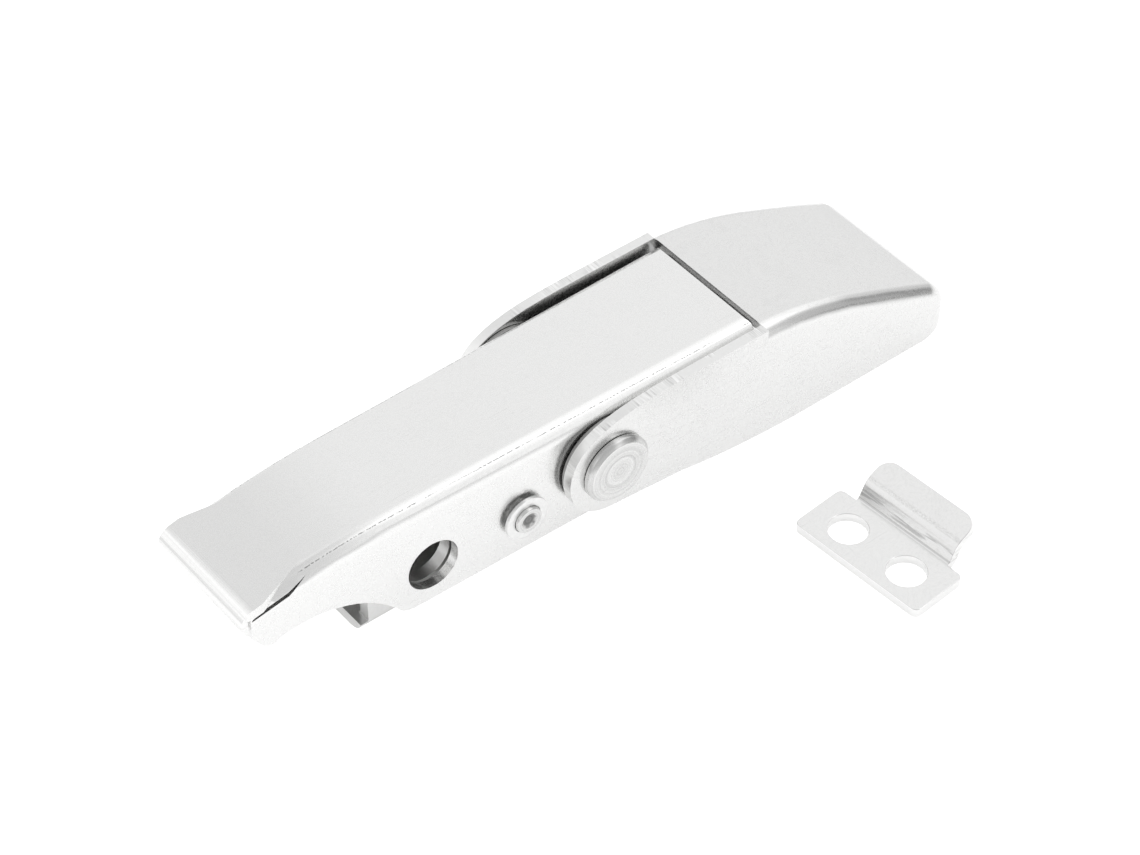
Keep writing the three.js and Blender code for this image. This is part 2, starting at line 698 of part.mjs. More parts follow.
place('base_channel', baseSolid(), steel(satin, 0.38));
place('handle_lever', leverSolid(), steel(bright, 0.32));
place('claw', clawSolid(), steel(bright, 0.3));
place('claw_pin', clawPinSolid(), steel(turnedSteel, 0.34));
place('claw_spacer_near', spacerSolid(-1), steel(satin, 0.42));
place('claw_spacer_far', spacerSolid(1), steel(satin, 0.42));
place('lever_pivot_pin', leverPivotSolid(), steel(turnedSteel, 0.36));
place('lever_pivot_washer_near', pivotWasherSolid(-1), steel(satin, 0.42));
place('lever_pivot_washer_far', pivotWasherSolid(1), steel(satin, 0.42));
place('stop_pin', stopPinSolid(), steel(turnedSteel, 0.4));
place('stop_pin_washer_near', stopWasherSolid(-1), steel(satin, 0.4));
place('stop_pin_washer_far', stopWasherSolid(1), steel(satin, 0.4));

const keeper = new THREE.Group();
keeper.position.set(keeperPlace.x, keeperPlace.y, 0);
keeper.rotation.z = THREE.MathUtils.degToRad(keeperPlace.turn);
group.add(keeper);
place('keeper_plate', keeperSolid(), steel(bright, 0.3), keeper);

export default group;
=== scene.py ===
"""Toggle latch in stainless steel: its finished pieces, their finishes, the studio and the camera.

Lengths are written in millimetres and turned into metres by mm(). The latch stands on Z = 0,
X runs from the finger lip to the nose of the claw, and Y runs across it.
"""

import logging
import math
from dataclasses import dataclass, field
from enum import Enum
from typing import Callable, Iterable, Mapping, Optional, Union

import bpy
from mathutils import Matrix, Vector


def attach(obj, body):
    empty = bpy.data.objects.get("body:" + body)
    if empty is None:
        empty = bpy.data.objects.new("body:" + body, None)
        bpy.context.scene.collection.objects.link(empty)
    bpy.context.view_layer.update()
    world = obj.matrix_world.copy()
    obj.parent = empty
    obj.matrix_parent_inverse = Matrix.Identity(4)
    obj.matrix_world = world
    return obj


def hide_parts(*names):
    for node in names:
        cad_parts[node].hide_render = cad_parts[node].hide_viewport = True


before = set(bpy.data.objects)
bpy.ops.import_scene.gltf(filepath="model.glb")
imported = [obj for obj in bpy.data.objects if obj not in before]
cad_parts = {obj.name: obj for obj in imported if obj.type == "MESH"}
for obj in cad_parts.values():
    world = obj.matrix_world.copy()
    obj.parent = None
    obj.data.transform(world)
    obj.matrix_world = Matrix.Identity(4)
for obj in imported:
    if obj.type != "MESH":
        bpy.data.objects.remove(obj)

LOG = logging.getLogger("toggle_latch")
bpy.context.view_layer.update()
Socket = bpy.types.NodeSocket
Value = Union[float, tuple, Socket]
Given = Mapping[str, Socket]


def mm(value: float) -> float:
    """Millimetres as metres."""
    return value / 1000.0


class Side(Enum):
    """The two flanks of the latch."""

    NEAR = -1
    FAR = 1


class Body(Enum):
    """The bodies that pieces move with."""

    BASE = "base"
    LEVER = "lever"
    CLAW = "claw"


class Slot(Enum):
    """Material slots of the record."""

    BASE = "base_steel"
    LEVER = "lever_steel"
    CLAW = "claw_steel"
    TURNED = "turned_steel"
    WASHER = "washer_steel"
    KEEPER = "keeper_steel"


# ---------------------------------------------------------------- shader building


class NodeDesk:
    """Lays out nodes in one node tree and joins them."""

    def __init__(self, tree: bpy.types.NodeTree) -> None:
        """Starts on an empty tree.

        Args:
            tree: the node tree to fill.
        """
        self.tree = tree
        self.count = 0
        tree.nodes.clear()

    def add(self, kind: str, inputs: Optional[dict] = None, **settings) -> bpy.types.Node:
        """Adds a node.

        Args:
            kind: the node's type, without its ShaderNode or Node prefix.
            inputs: values or sockets for its inputs, by name or number.
            **settings: properties of the node.

        Returns:
            The new node.
        """
        prefix = "Node" if kind in ("GroupInput", "GroupOutput") else "ShaderNode"
        node = self.tree.nodes.new(prefix + kind)
        node.location = (220 * (self.count % 9), -190 * (self.count // 9))
        self.count += 1
        for name, value in settings.items():
            setattr(node, name, value)
        for key, value in (inputs or {}).items():
            if isinstance(value, bpy.types.NodeSocket):
                self.tree.links.new(value, node.inputs[key])
            else:
                node.inputs[key].default_value = value
        return node

    def math(self, operation: str, first: Value, second: Value = 0.0, clamp: bool = False) -> Socket:
        """One Math node.

        Args:
            operation: what it does.
            first: the first value or socket.
            second: the second value or socket.
            clamp: keeps the result between 0 and 1.

        Returns:
            Its output socket.
        """
        values = {0: first, 1: second}
        if operation == "MULTIPLY_ADD":
            values[2] = 1.0
        node = self.add("Math", values, operation=operation, use_clamp=clamp)
        return node.outputs[0]

    def vector_math(
        self, operation: str, first: Value, second: Value = (0.0, 0.0, 0.0), output: int = 0
    ) -> Socket:
        """One Vector Math node.

        Args:
            operation: what it does.
            first: the first vector or socket.
            second: the second vector or socket.
            output: which output is wanted.

        Returns:
            That output socket.
        """
        node = self.add("VectorMath", {0: first, 1: second}, operation=operation)
        return node.outputs[output]

    def band(self, value: Socket, low: float, high: float, to_low: float = 0.0, to_high: float = 1.0) -> Socket:
        """A smooth step from one value to another.

        Args:
            value: the socket that is mapped.
            low: where the step starts.
            high: where it ends.
            to_low: the result up to the start.
            to_high: the result past the end.

        Returns:
            The mapped socket.
        """
        node = self.add(
            "MapRange",
            {"Value": value, "From Min": low, "From Max": high, "To Min": to_low, "To Max": to_high},
            interpolation_type="SMOOTHSTEP",
        )
        return node.outputs["Result"]

    def noise(self, vector: Socket, size_mm: float, detail: float = 3.0, roughness: float = 0.55) -> Socket:
        """Noise with features of about a given size.

        Args:
            vector: the coordinates, in metres.
            size_mm: size of the features.
            detail: finer octaves.
            roughness: how strong those are.

        Returns:
            The noise value's socket.
        """
        node = self.add(
            "TexNoise",
            {"Vector": vector, "Scale": 1000.0 / size_mm, "Detail": detail, "Roughness": roughness},
        )
        return node.outputs[0]

    def stretched(self, vector: Socket, lengths_mm: tuple, turn_deg: tuple = (0.0, 0.0, 0.0)) -> Socket:
        """Coordinates counted in units of given lengths, after a turn.

        Args:
            vector: the coordinates, in metres.
            lengths_mm: the unit along each turned axis.
            turn_deg: the turn, as Euler angles.

        Returns:
            The new coordinates' socket.
        """
        node = self.add(
            "Mapping",
            {
                "Vector": vector,
                "Rotation": tuple(math.radians(a) for a in turn_deg),
                "Scale": tuple(1000.0 / length for length in lengths_mm),
            },
            vector_type="POINT",
        )
        return node.outputs[0]


@dataclass
class EffectGroup:
    """A shader effect shared by several finishes."""

    name: str
    inputs: tuple
    outputs: tuple
    fill: Callable
    tree: Optional[bpy.types.NodeTree] = None

    def build(self) -> bpy.types.NodeTree:
        """Makes the group on first use.

        Returns:
            Its node tree.
        """
        if self.tree is None:
            tree = bpy.data.node_groups.new(self.name, "ShaderNodeTree")
            for name, kind, default in self.inputs:
                socket = tree.interface.new_socket(name, in_out="INPUT", socket_type=kind)
                if default is not None:
                    socket.default_value = default
            for name, kind in self.outputs:
                tree.interface.new_socket(name, in_out="OUTPUT", socket_type=kind)
            desk = NodeDesk(tree)
            entry = desk.add("GroupInput")
            results = self.fill(desk, entry.outputs)
            desk.add("GroupOutput", {name: value for name, value in results.items()})
            self.tree = tree
        return self.tree

    def place(self, desk: NodeDesk, **values) -> bpy.types.Node:
        """Puts the group into a material.

        Args:
            desk: the material's desk.
            **values: values or sockets for its inputs.

        Returns:
            The group node.
        """
        node = desk.add("Group", node_tree=self.build())
        for name, value in values.items():
            if isinstance(value, bpy.types.NodeSocket):
                desk.tree.links.new(value, node.inputs[name])
            else:
                node.inputs[name].default_value = value
        return node


FLOAT = "NodeSocketFloat"
VECTOR = "NodeSocketVector"


def fill_peel(desk: NodeDesk, given: Given) -> dict:
    """Orange-peel skin of tumbled sheet: soft lumps, a fine tooth and scattered pits.

    Args:
        desk: the group's desk.
        given: the group's inputs, by name.

    Returns:
        The group's outputs, by name.
    """
    vector = given["Vector"]
    lumps = desk.noise(vector, 1.5, 2.0)
    tooth = desk.noise(vector, 0.4, 4.0, 0.7)
    pits = desk.add(
        "TexVoronoi", {"Vector": vector, "Scale": 1150.0, "Randomness": 1.0}, feature="F1"
    ).outputs["Distance"]
    rare = desk.band(desk.noise(vector, 3.0, 1.0), 0.5, 0.66)
    pit_mask = desk.math("MULTIPLY", desk.band(pits, 0.24, 0.1), rare)
    height = desk.math("ADD", desk.math("MULTIPLY", lumps, 0.5), desk.math("MULTIPLY", tooth, 0.42))
    height = desk.math("SUBTRACT", height, desk.math("MULTIPLY", pit_mask, 0.5))
    shade = desk.band(tooth, 0.25, 0.75, -1.0, 1.0)
    shade = desk.math("SUBTRACT", shade, desk.math("MULTIPLY", pit_mask, 2.2))
    shade = desk.math("MULTIPLY", shade, given["Amount"])
    return {"Shade": shade, "Height": height}


def fill_scratches(desk: NodeDesk, given: Given) -> dict:
    """Hairline scratches in three directions, broken into short strokes.

    Args:
        desk: the group's desk.
        given: the group's inputs, by name.

    Returns:
        The group's outputs, by name.
    """
    vector = given["Vector"]
    total = None
    for turn, length in (((14.0, 9.0, 24.0), 9.0), ((-8.0, -21.0, -37.0), 6.0), ((30.0, 12.0, 71.0), 7.5)):
        strokes = desk.stretched(vector, (length, 0.16, 0.16), turn)
        line = desk.add("TexNoise", {"Vector": strokes, "Scale": 1.0, "Detail": 1.0}).outputs[0]
        thin = desk.band(line, 0.70, 0.76)
        total = thin if total is None else desk.math("MAXIMUM", total, thin)
    where = desk.band(desk.noise(vector, 13.0, 2.0), 0.42, 0.62)
    mask = desk.math("MULTIPLY", desk.math("MULTIPLY", total, where), given["Amount"], True)
    return {"Mask": mask}


def fill_smudges(desk: NodeDesk, given: Given) -> dict:
    """Cloudy handling marks, a few millimetres to a few centimetres across.

    Args:
        desk: the group's desk.
        given: the group's inputs, by name.

    Returns:
        The group's outputs, by name.
    """
    vector = given["Vector"]
    bent = desk.vector_math(
        "ADD",
        vector,
        desk.vector_math(
            "SCALE", desk.add("TexNoise", {"Vector": vector, "Scale": 90.0}).outputs[1], (0, 0, 0)
        ),
    )
    broad = desk.noise(bent, 17.0, 3.0, 0.6)
    small = desk.noise(vector, 4.2, 3.0, 0.65)
    cloud = desk.math("ADD", desk.band(broad, 0.42, 0.72), desk.math("MULTIPLY", desk.band(small, 0.5, 0.8), 0.6))
    return {"Mask": desk.math("MULTIPLY", cloud, given["Amount"])}


def fill_lines(desk: NodeDesk, given: Given) -> dict:
    """Fine drawn lines that run along one axis, named by a stretched coordinate.

    Args:
        desk: the group's desk.
        given: the group's inputs, by name.

    Returns:
        The group's outputs, by name.
    """
    fine = desk.add("TexNoise", {"Vector": given["Vector"], "Scale": 1.0, "Detail": 2.0}).outputs[0]
    coarse = desk.add("TexNoise", {"Vector": given["Vector"], "Scale": 0.27, "Detail": 1.0}).outputs[0]
    both = desk.math("ADD", desk.math("MULTIPLY", fine, 0.7), desk.math("MULTIPLY", coarse, 0.3))
    return {"Line": desk.band(both, 0.3, 0.7, -1.0, 1.0), "Height": both}


def fill_rings(desk: NodeDesk, given: Given) -> dict:
    """Turning marks: rings about an axis along Y, uneven in depth.

    Args:
        desk: the group's desk.
        given: the group's inputs, by name.

    Returns:
        The group's outputs, by name.
    """
    flat = desk.vector_math("MULTIPLY", given["Vector"], (1.0, 0.0, 1.0))
    radius = desk.vector_math("LENGTH", flat, output=1)
    along = desk.add("CombineXYZ", {0: radius}).outputs[0]
    wobble = desk.vector_math("ADD", along, desk.vector_math("MULTIPLY", given["Vector"], (0.012, 0.0, 0.012)))
    ring = desk.noise(wobble, 0.24, 2.0, 0.6)
    broad = desk.noise(along, 1.1, 1.0)
    height = desk.math("ADD", desk.math("MULTIPLY", ring, 0.6), desk.math("MULTIPLY", broad, 0.4))
    return {"Line": desk.band(height, 0.35, 0.65, -1.0, 1.0), "Height": height}


PEEL = EffectGroup(
    "orange_peel", (("Vector", VECTOR, None), ("Amount", FLOAT, 1.0)),
    (("Shade", FLOAT), ("Height", FLOAT)), fill_peel,
)
SCRATCHES = EffectGroup(
    "hair_scratches", (("Vector", VECTOR, None), ("Amount", FLOAT, 1.0)), (("Mask", FLOAT),), fill_scratches
)
SMUDGES = EffectGroup(
    "smudges", (("Vector", VECTOR, None), ("Amount", FLOAT, 1.0)), (("Mask", FLOAT),), fill_smudges
)
LINES = EffectGroup("drawn_lines", (("Vector", VECTOR, None),), (("Line", FLOAT), ("Height", FLOAT)), fill_lines)
RINGS = EffectGroup("turning_rings", (("Vector", VECTOR, None),), (("Line", FLOAT), ("Height", FLOAT)), fill_rings)


# ---------------------------------------------------------------- finishes


@dataclass(frozen=True)
class SheetSteel:
    """Polished or tumbled stainless sheet."""

    name: str
    colour: tuple = (0.88, 0.88, 0.875)
    roughness: float = 0.25
    peel: float = 0.018
    peel_depth_mm: float = 0.006
    scratches: float = 0.5
    smudges: float = 0.3

    def make(self) -> bpy.types.Material:
        """Builds the material.

        Returns:
            The finished material.
        """
        material = bpy.data.materials.new(self.name)
        material.use_nodes = True
        desk = NodeDesk(material.node_tree)
        vector = desk.add("TexCoord").outputs["Object"]
        shade, rough, height = self.surface(desk, vector)
        colour = desk.add(
            "Mix", {"Factor": 1.0, 6: (*self.colour, 1.0), 7: shade}, data_type="RGBA", blend_type="MULTIPLY"
        ).outputs[2]
        bump = desk.add(
            "Bump", {"Height": height, "Strength": 0.55, "Distance": mm(self.peel_depth_mm)}
        ).outputs[0]
        shader = desk.add(
            "BsdfPrincipled", {"Base Color": colour, "Metallic": 1.0, "Roughness": rough, "Normal": bump}
        )
        desk.add("OutputMaterial", {"Surface": shader.outputs[0]})
        return material

    def surface(self, desk: NodeDesk, vector: Socket) -> tuple:
        """Skin, scratches and handling marks of the sheet.

        Args:
            desk: the material's desk.
            vector: the piece's coordinates.

        Returns:
            Sockets for shade, roughness and height.
        """
        peel = PEEL.place(desk, Vector=vector, Amount=self.peel)
        scratch = SCRATCHES.place(desk, Vector=vector, Amount=self.scratches).outputs["Mask"]
        smudge = SMUDGES.place(desk, Vector=vector, Amount=self.smudges).outputs["Mask"]
        shade = desk.math("ADD", 1.0, peel.outputs["Shade"])
        shade = desk.math("SUBTRACT", shade, desk.math("MULTIPLY", scratch, 0.16))
        shade = desk.math("SUBTRACT", shade, desk.math("MULTIPLY", smudge, 0.075))
        rough = desk.math("ADD", self.roughness, desk.math("MULTIPLY", smudge, 0.12))
        rough = desk.math("ADD", rough, desk.math("MULTIPLY", scratch, 0.1))
        height = desk.math("SUBTRACT", peel.outputs["Height"], desk.math("MULTIPLY", scratch, 0.35))
        return shade, rough, height


@dataclass(frozen=True)
class LeverSteel(SheetSteel):
    """The lever's sheet: drawn lines along its lip and a painted reflection, a broken dark line along its long bends.
    """

    lip_below_x: float = -53.2
    # The next four fields place the painted reflection line along the long bends and set how dark it is.
    reflection_line_start: float = -47.0
    reflection_line_depth: float = 0.7
    reflection_line_y: float = 8.97
    reflection_line_width: float = 0.12
    taper: float = 1.79
    plate_z: float = 17.0

    def surface(self, desk: NodeDesk, vector: Socket) -> tuple:
        """Adds the lip's lines and the painted reflection line along the long bends to the sheet's own marks.

        Args:
            desk: the material's desk.
            vector: the piece's coordinates.

        Returns:
            Sockets for shade, roughness and height.
        """
        shade, rough, height = super().surface(desk, vector)
        x, y, z = desk.add("SeparateXYZ", {0: vector}).outputs[:3]
        lip = desk.band(x, mm(self.lip_below_x), mm(self.lip_below_x - 1.6))
        drawn = LINES.place(desk, Vector=desk.stretched(vector, (0.12, 26.0, 0.12)))
        line = desk.math("MULTIPLY", drawn.outputs["Line"], lip)
        shade = desk.math("ADD", shade, desk.math("MULTIPLY", line, 0.07))
        height = desk.math("ADD", height, desk.math("MULTIPLY", line, 0.35))
        # Painted reflection: a thin, broken dark line along the long bends, where the bend's reflection crosses the
        # horizon, is darkened into the colour and dents the bump a little.
        straight = desk.math("DIVIDE", desk.math("ABSOLUTE", y), desk.math("MULTIPLY_ADD", x, self.taper))
        drift = desk.math("MULTIPLY", desk.math("SUBTRACT", desk.noise(vector, 0.7, 2.0), 0.5), mm(0.16))
        off = desk.math("ABSOLUTE", desk.math("SUBTRACT", desk.math("ADD", straight, drift), mm(self.reflection_line_y)))
        dots = desk.band(desk.noise(vector, 0.32, 2.0), 0.42, 0.54)
        trail = desk.band(desk.noise(vector, 9.0, 1.0), 0.3, 0.5)
        painted_reflection_line = desk.math("MULTIPLY", desk.band(off, mm(self.reflection_line_width), 0.0), desk.math("MULTIPLY", dots, trail))
        painted_reflection_line = desk.math("MULTIPLY", painted_reflection_line, desk.band(z, mm(self.plate_z), mm(self.plate_z + 0.4)))
        painted_reflection_line = desk.math("MULTIPLY", painted_reflection_line, desk.band(x, mm(self.reflection_line_start), mm(self.reflection_line_start + 1.0)))
        shade = desk.math("SUBTRACT", shade, desk.math("MULTIPLY", painted_reflection_line, self.reflection_line_depth))
        height = desk.math("SUBTRACT", height, desk.math("MULTIPLY", painted_reflection_line, 0.8))
        return shade, rough, height


@dataclass(frozen=True)
class KeeperSteel(SheetSteel):
    """The keeper's sheet: painted shade in the crease at the foot of its riser, grey streaks and a speckled, darker
    upper bend.
    """

    # The first two fields place the painted shade in the crease at the riser's foot and set how dark it is.
    crease: tuple = (1.52, 1.62, 1.7, 1.85)
    crease_shade_depth: float = 0.3
    riser: tuple = (1.9, 2.1, 2.7, 3.3)
    streak: float = 0.34
    bend: tuple = (4.0, 4.15, 4.3, 4.5)
    grind: float = 0.2

    def surface(self, desk: NodeDesk, vector: Socket) -> tuple:
        """Adds painted shade in the crease at the riser's foot, and the marks of the bending tool on the riser and
        the upper bend, to the sheet's own marks.

        Args:
            desk: the material's desk.
            vector: the piece's coordinates.

        Returns:
            Sockets for shade, roughness and height.
        """
        shade, rough, height = super().surface(desk, vector)
        z = desk.add("SeparateXYZ", {0: vector}).outputs[2]
        # Painted shade: the crease at the foot of the riser is darkened in the colour.
        crease_shade = self.level(desk, z, self.crease)
        shade = desk.math("SUBTRACT", shade, desk.math("MULTIPLY", crease_shade, self.crease_shade_depth))
        low = self.level(desk, z, self.riser)
        along = desk.stretched(vector, (1.2, 7.0, 0.5))
        patch = desk.band(desk.add("TexNoise", {"Vector": along, "Scale": 1.0, "Detail": 2.0}).outputs[0], 0.5, 0.6)
        shade = desk.math("SUBTRACT", shade, desk.math("MULTIPLY", desk.math("MULTIPLY", low, patch), self.streak))
        bend = self.level(desk, z, self.bend)
        tooth = desk.band(desk.noise(vector, 0.16, 2.0), 0.3, 0.7)
        worn = desk.math("MULTIPLY", desk.math("MULTIPLY", bend, tooth), self.grind)
        return desk.math("SUBTRACT", shade, worn), rough, height

    @staticmethod
    def level(desk: NodeDesk, z: Socket, heights: tuple) -> Socket:
        """A mask that fades in and out between heights.

        Args:
            desk: the material's desk.
            z: the height, in metres.
            heights: where it starts, is full, stays full until and ends, in millimetres.

        Returns:
            The mask's socket.
        """
        start, full, last, end = heights
        return desk.math("MULTIPLY", desk.band(z, mm(start), mm(full)), desk.band(z, mm(end), mm(last)))


@dataclass(frozen=True)
class ShearedEdge(SheetSteel):
    """Cut edge of the sheet, with marks of the punch across its thickness."""

    lines_mm: tuple = (0.14, 4.0, 0.14)

    def surface(self, desk: NodeDesk, vector: Socket) -> tuple:
        """Punch marks over a faint skin.

        Args:
            desk: the material's desk.
            vector: the piece's coordinates.

        Returns:
            Sockets for shade, roughness and height.
        """
        marks = LINES.place(desk, Vector=desk.stretched(vector, self.lines_mm))
        peel = PEEL.place(desk, Vector=vector, Amount=self.peel)
        patch = desk.band(desk.noise(vector, 5.0, 1.0), 0.45, 0.62)
        torn = desk.math("MULTIPLY", desk.math("MULTIPLY", marks.outputs["Line"], patch), 0.3)
        shade = desk.math("ADD", desk.math("ADD", 1.0, torn), peel.outputs["Shade"])
        rough = desk.band(marks.outputs["Height"], 0.3, 0.7, self.roughness, self.roughness + 0.14)
        height = desk.math("ADD", marks.outputs["Height"], desk.math("MULTIPLY", peel.outputs["Height"], 0.5))
        return shade, rough, height


@dataclass(frozen=True)
class TurnedSteel(SheetSteel):
    """Turned bar: rings on the end faces, centred on the bar's axis, and painted shade in a peened dimple."""

    centre_x: float = 0.0
    centre_z: float = 0.0
    ring_shade: float = 0.15
    dimple_shade_radius: float = 0.0

    def surface(self, desk: NodeDesk, vector: Socket) -> tuple:
        """Turning rings over the marks of handling.

        Args:
            desk: the material's desk.
            vector: the piece's coordinates.

        Returns:
            Sockets for shade, roughness and height.
        """
        shade, rough, height = super().surface(desk, vector)
        centred = desk.vector_math("SUBTRACT", vector, (mm(self.centre_x), 0.0, mm(self.centre_z)))
        rings = RINGS.place(desk, Vector=centred)
        shade = desk.math("ADD", shade, desk.math("MULTIPLY", rings.outputs["Line"], self.ring_shade))
        height = desk.math("ADD", rings.outputs["Height"], desk.math("MULTIPLY", height, 0.3))
        # Painted shade: the peened dimple is darkened in the colour inside a ragged edge, and its roughness is
        # raised.
        if self.dimple_shade_radius:
            flat = desk.vector_math("MULTIPLY", centred, (1.0, 0.0, 1.0))
            reach = desk.vector_math("LENGTH", flat, output=1)
            ragged = desk.math("MULTIPLY", desk.math("SUBTRACT", desk.noise(vector, 0.6, 2.0), 0.5), mm(0.7))
            reach = desk.math("ADD", reach, ragged)
            dimple_shade = desk.band(reach, mm(self.dimple_shade_radius + 0.15), mm(self.dimple_shade_radius - 0.2))
            shade = desk.math("SUBTRACT", shade, desk.math("MULTIPLY", dimple_shade, 0.62))
            rough = desk.math("ADD", rough, desk.math("MULTIPLY", dimple_shade, 0.25))
        return shade, rough, height


LEVER_SATIN = LeverSteel("lever_satin")
CLAW_HAZE = SheetSteel(
    "claw_haze", colour=(0.83, 0.83, 0.825), roughness=0.22, smudges=0.6, scratches=0.6, peel=0.012
)
KEEPER_POLISH = KeeperSteel("keeper_polish", roughness=0.16, peel=0.012, scratches=0.35, smudges=0.4)
BASE_SATIN = SheetSteel("base_satin", colour=(0.74, 0.74, 0.735), roughness=0.34)
WASHER_SATIN = SheetSteel("washer_satin", colour=(0.88, 0.88, 0.875), roughness=0.33, peel=0.05)
# Painted shade: the spacers' dark tone stands for the shade in the gap between the lever's wall and the claw's ear.
SPACER_GAP_SHADE = SheetSteel("spacer_gap_shade", colour=(0.4, 0.4, 0.395), roughness=0.5, peel=0.05, smudges=0.6)
CUT_EDGE = ShearedEdge("sheared_edge", colour=(0.86, 0.86, 0.855), roughness=0.3)
CLAW_PIN_FACE = TurnedSteel("claw_pin_turned", colour=(0.72, 0.72, 0.715), centre_x=0.0, centre_z=10.86)
STOP_PIN_FACE = TurnedSteel(
    "stop_pin_turned", colour=(0.7, 0.7, 0.695), centre_x=-13.1, centre_z=8.04, dimple_shade_radius=1.05
)
PIVOT_FACE = TurnedSteel("pivot_turned", colour=(0.74, 0.74, 0.735), centre_x=14.0, centre_z=11.2)


# ---------------------------------------------------------------- workshop


class Workshop:
    """The modelling operations that every piece uses."""

    @staticmethod
    def deselect() -> None:
        """Leaves nothing selected."""
        if bpy.context.object is not None and bpy.context.object.mode != "OBJECT":
            bpy.ops.object.mode_set(mode="OBJECT")
        bpy.ops.object.select_all(action="DESELECT")

    @classmethod
    def take(cls, piece: bpy.types.Object) -> None:
        """Makes one piece the selected and active one.

        Args:
            piece: the piece to work on.
        """
        cls.deselect()
        piece.select_set(True)
        bpy.context.view_layer.objects.active = piece

    @classmethod
    def edit(cls, piece: bpy.types.Object, pick: Callable, kind: str = "FACE") -> int:
        """Opens a piece in edit mode with the faces or edges selected that a test picks.

        Args:
            piece: the piece to open.
            pick: a test on a polygon, or on an edge's two ends.
            kind: FACE or EDGE.

        Returns:
            How many were picked.
        """
        cls.take(piece)
        bpy.ops.object.mode_set(mode="EDIT")
        bpy.ops.mesh.select_mode(type=kind)
        bpy.ops.mesh.select_all(action="DESELECT")
        bpy.ops.object.mode_set(mode="OBJECT")
        mesh = piece.data
        if kind == "FACE":
            found = [p for p in mesh.polygons if pick(p)]
        else:
            ends = [(e, mesh.vertices[e.vertices[0]].co, mesh.vertices[e.vertices[1]].co) for e in mesh.edges]
            found = [e for e, a, b in ends if pick(a, b)]
        for item in found:
            item.select = True
        bpy.ops.object.mode_set(mode="EDIT")
        return len(found)

    @staticmethod
    def close() -> None:
        """Leaves edit mode."""
        bpy.ops.object.mode_set(mode="OBJECT")

    @classmethod
    def modify(cls, piece: bpy.types.Object, kind: str, **settings) -> None:
        """Adds a modifier and applies it.

        Args:
            piece: the piece.
            kind: the modifier's type.
            **settings: its settings.
        """
        cls.take(piece)
        modifier = piece.modifiers.new(kind.lower(), kind)
        for name, value in settings.items():
            setattr(modifier, name, value)
        bpy.ops.object.modifier_apply(modifier=modifier.name)

    @classmethod
    def cut(cls, piece: bpy.types.Object, tool: bpy.types.Object) -> None:
        """Cuts one piece with another and throws the tool away.

        Args:
            piece: the piece that is cut.
            tool: what it is cut with.
        """
        cls.modify(piece, "BOOLEAN", object=tool, operation="DIFFERENCE", solver="EXACT")
        bpy.data.objects.remove(tool, do_unlink=True)

    @classmethod
    def break_edges(cls, piece: bpy.types.Object, width_mm: float, angle: float = 34.0, steps: int = 3) -> None:
        """Rounds the sharp edges and smooths the rest.

        Args:
            piece: the piece.
            width_mm: the rounding's width.
            angle: edges that turn by more than this are rounded, in degrees.
            steps: segments of the rounding.
        """
        cls.modify(
            piece, "BEVEL", width=mm(width_mm), segments=steps, limit_method="ANGLE",
            angle_limit=math.radians(angle), use_clamp_overlap=True, miter_outer="MITER_ARC",
        )
        cls.take(piece)
        bpy.ops.object.shade_smooth_by_angle(angle=math.radians(38.0))
        cls.modify(piece, "WEIGHTED_NORMAL", keep_sharp=True, weight=50)

    @classmethod
    def refined(cls, node: str, name: str) -> bpy.types.Object:
        """A merged copy of a frame node, its flat faces whole again.

        Args:
            node: the frame node.
            name: the copy's name.

        Returns:
            The copy, at the origin.
        """
        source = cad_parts[node]
        cls.deselect()
        piece = bpy.data.objects.new(name, source.data.copy())
        bpy.context.scene.collection.objects.link(piece)
        piece.data.materials.clear()
        cls.edit(piece, lambda p: True)
        bpy.ops.mesh.customdata_custom_splitnormals_clear()
        bpy.ops.mesh.remove_doubles(threshold=mm(0.002))
        bpy.ops.mesh.dissolve_limited(angle_limit=math.radians(0.5))
        cls.close()
        return piece

    @classmethod
    def bar(cls, name: str, x: float, z: float, stations: Iterable, sides: int = 96) -> bpy.types.Object:
        """A round bar along Y, extruded and resized from one station to the next.

        Args:
            name: the piece's name.
            x: its axis.
            z: its axis.
            stations: pairs of distance along Y and radius, in order of making.
            sides: how many sides its circle has.

        Returns:
            The bar.
        """
        path = list(stations)
        start_y, radius = path[0]
        cls.deselect()
        bpy.ops.mesh.primitive_circle_add(
            vertices=sides, radius=mm(radius), fill_type="NGON",
            location=(mm(x), mm(start_y), mm(z)), rotation=(math.radians(90), 0, 0),
        )
        piece = bpy.context.object
        piece.name = name
        bpy.ops.object.transform_apply(location=True, rotation=True, scale=True)
        cls.edit(piece, lambda p: True)
        y = start_y
        for next_y, next_radius in path[1:]:
            bpy.ops.mesh.extrude_region_move(TRANSFORM_OT_translate={"value": (0, mm(next_y - y), 0)})
            share = next_radius / radius
            bpy.ops.transform.resize(value=(share, 1, share), center_override=(mm(x), mm(next_y), mm(z)))
            y, radius = next_y, next_radius
        bpy.ops.mesh.select_all(action="SELECT")
        bpy.ops.mesh.normals_make_consistent(inside=False)
        cls.close()
        return piece

